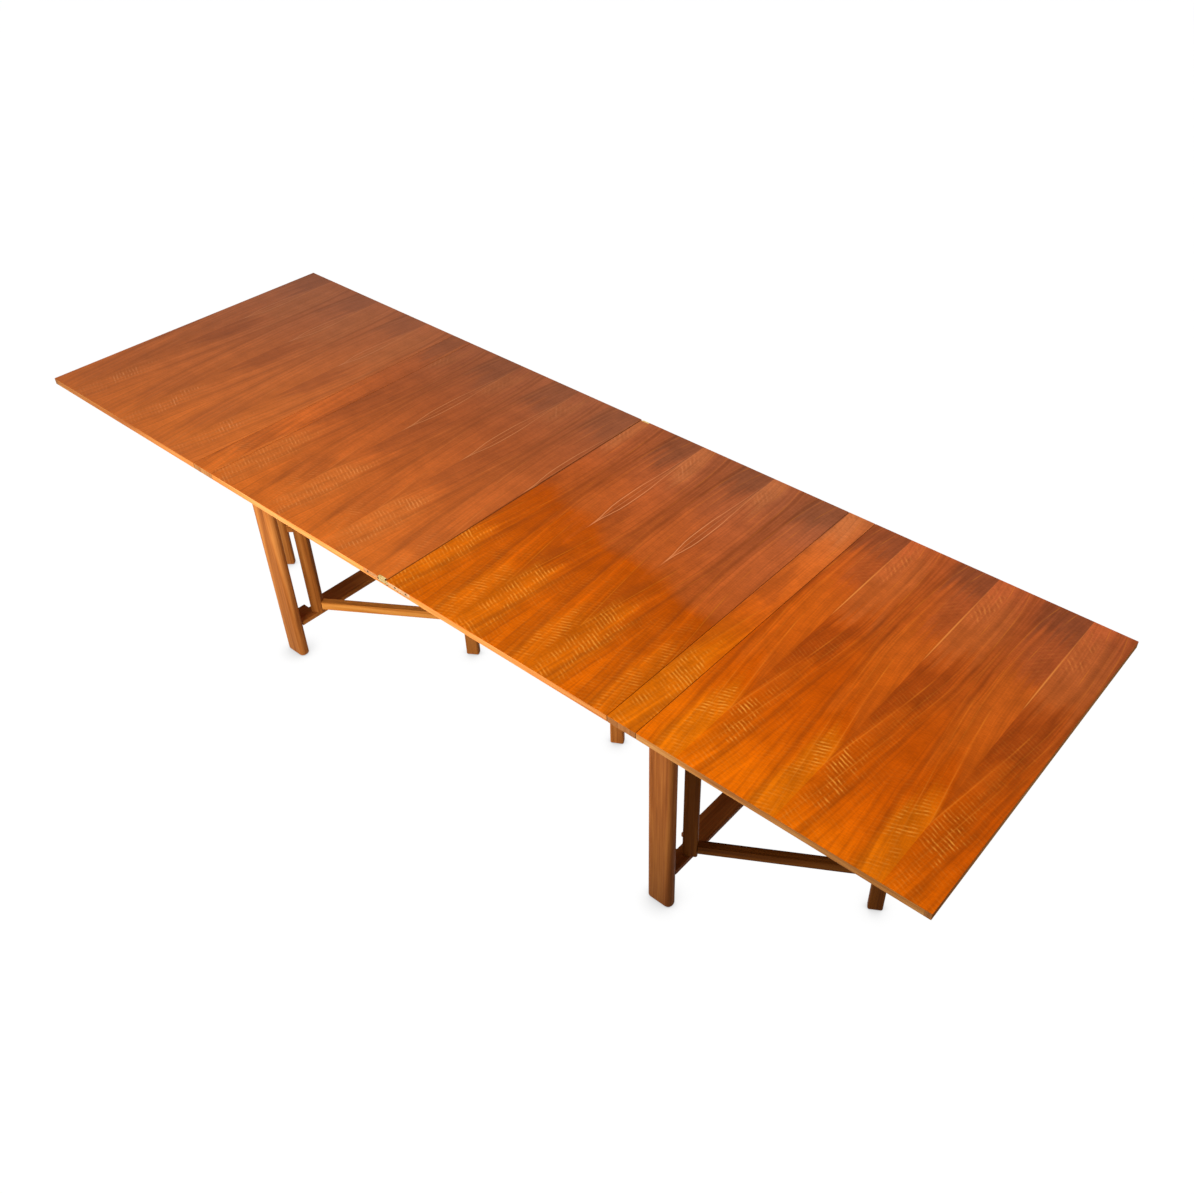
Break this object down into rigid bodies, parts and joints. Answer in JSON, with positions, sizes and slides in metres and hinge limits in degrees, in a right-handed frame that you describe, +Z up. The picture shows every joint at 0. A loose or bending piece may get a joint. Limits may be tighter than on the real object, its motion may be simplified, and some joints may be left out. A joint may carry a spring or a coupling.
{
  "type": "folding gate-leg dining table",
  "caption": "Long folding dining table of teak: flat top with drop leaves on narrow slab-legged frames, held up by swing-out gate legs.",
  "frame": {"origin": "on the floor under the middle of the top", "axes": "+X along the table, +Y across it away from the viewer, +Z up"},
  "size_m": [2.8, 0.9, 0.72],
  "materials": {
    "veneer": "satin lacquered teak veneer",
    "frame_wood": "oiled solid teak",
    "gate_wood": "oiled solid teak",
    "steel": "plain steel",
    "brass": "worn brass"
  },
  "bodies": {
    "frames_and_fixed_top": {"left_centre_strip": "veneer", "left_near_leg": "frame_wood", "left_far_leg": "frame_wood", "left_lower_board": "frame_wood", "left_upper_board": "frame_wood", "left_outer_gate_lower_pin": "steel", "left_outer_gate_upper_pin": "steel", "left_outer_hinge_near_strip_plate": "steel", "left_outer_hinge_far_strip_plate": "steel", "left_inner_gate_lower_pin": "steel", "left_inner_gate_upper_pin": "steel", "left_inner_hinge_near_strip_plate": "steel", "left_inner_hinge_far_strip_plate": "steel", "left_inner_leaf": "veneer", "left_inner_hinge_near_leaf_plate": "steel", "left_inner_hinge_far_leaf_plate": "steel", "right_centre_strip": "veneer", "right_near_leg": "frame_wood", "right_far_leg": "frame_wood", "right_lower_board": "frame_wood", "right_upper_board": "frame_wood", "right_outer_gate_lower_pin": "steel", "right_outer_gate_upper_pin": "steel", "right_outer_hinge_near_strip_plate": "steel", "right_outer_hinge_far_strip_plate": "steel", "right_inner_gate_lower_pin": "steel", "right_inner_gate_upper_pin": "steel", "right_inner_hinge_near_strip_plate": "steel", "right_inner_hinge_far_strip_plate": "steel", "right_inner_leaf": "veneer", "right_inner_hinge_near_leaf_plate": "steel", "right_inner_hinge_far_leaf_plate": "steel", "centre_near_hinge_left_plate": "brass", "centre_near_hinge_right_plate": "brass", "centre_far_hinge_left_plate": "brass", "centre_far_hinge_right_plate": "brass"},
    "left_outer_gate": {"left_outer_gate_post": "gate_wood", "left_outer_gate_leg": "gate_wood", "left_outer_gate_lower_rail": "gate_wood", "left_outer_gate_upper_rail": "gate_wood"},
    "left_outer_leaf_assembly": {"left_outer_leaf": "veneer", "left_outer_hinge_near_leaf_plate": "steel", "left_outer_hinge_far_leaf_plate": "steel"},
    "left_inner_gate": {"left_inner_gate_post": "gate_wood", "left_inner_gate_leg": "gate_wood", "left_inner_gate_lower_rail": "gate_wood", "left_inner_gate_upper_rail": "gate_wood"},
    "right_outer_gate": {"right_outer_gate_post": "gate_wood", "right_outer_gate_leg": "gate_wood", "right_outer_gate_lower_rail": "gate_wood", "right_outer_gate_upper_rail": "gate_wood"},
    "right_outer_leaf_assembly": {"right_outer_leaf": "veneer", "right_outer_hinge_near_leaf_plate": "steel", "right_outer_hinge_far_leaf_plate": "steel"},
    "right_inner_gate": {"right_inner_gate_post": "gate_wood", "right_inner_gate_leg": "gate_wood", "right_inner_gate_lower_rail": "gate_wood", "right_inner_gate_upper_rail": "gate_wood"}
  },
  "joints": [
    {"name": "left_outer_leaf_lift", "type": "hinge", "parent": "frames_and_fixed_top", "child": "left_outer_leaf_assembly", "pos_m": [-0.7375, 0, 0.6984], "axis": [0, 1, 0], "range_deg": [0, 1.5]},
    {"name": "left_outer_gate_swing", "type": "hinge", "parent": "frames_and_fixed_top", "child": "left_outer_gate", "pos_m": [-0.7235, 0.2345, 0.4], "axis": [0, 0, -1], "range_deg": [-48, 42]},
    {"name": "left_inner_gate_swing", "type": "hinge", "parent": "frames_and_fixed_top", "child": "left_inner_gate", "pos_m": [-0.6765, -0.2345, 0.4], "axis": [0, 0, -1], "range_deg": [-57.5, 32.5]},
    {"name": "right_outer_leaf_lift", "type": "hinge", "parent": "frames_and_fixed_top", "child": "right_outer_leaf_assembly", "pos_m": [0.7375, 0, 0.6984], "axis": [0, -1, 0], "range_deg": [0, 1.5]},
    {"name": "right_outer_gate_swing", "type": "hinge", "parent": "frames_and_fixed_top", "child": "right_outer_gate", "pos_m": [0.7235, -0.2345, 0.4], "axis": [0, 0, -1], "range_deg": [-59.5, 30.5]},
    {"name": "right_inner_gate_swing", "type": "hinge", "parent": "frames_and_fixed_top", "child": "right_inner_gate", "pos_m": [0.6765, 0.2345, 0.4], "axis": [0, 0, -1], "range_deg": [-61, 29]}
  ]
}
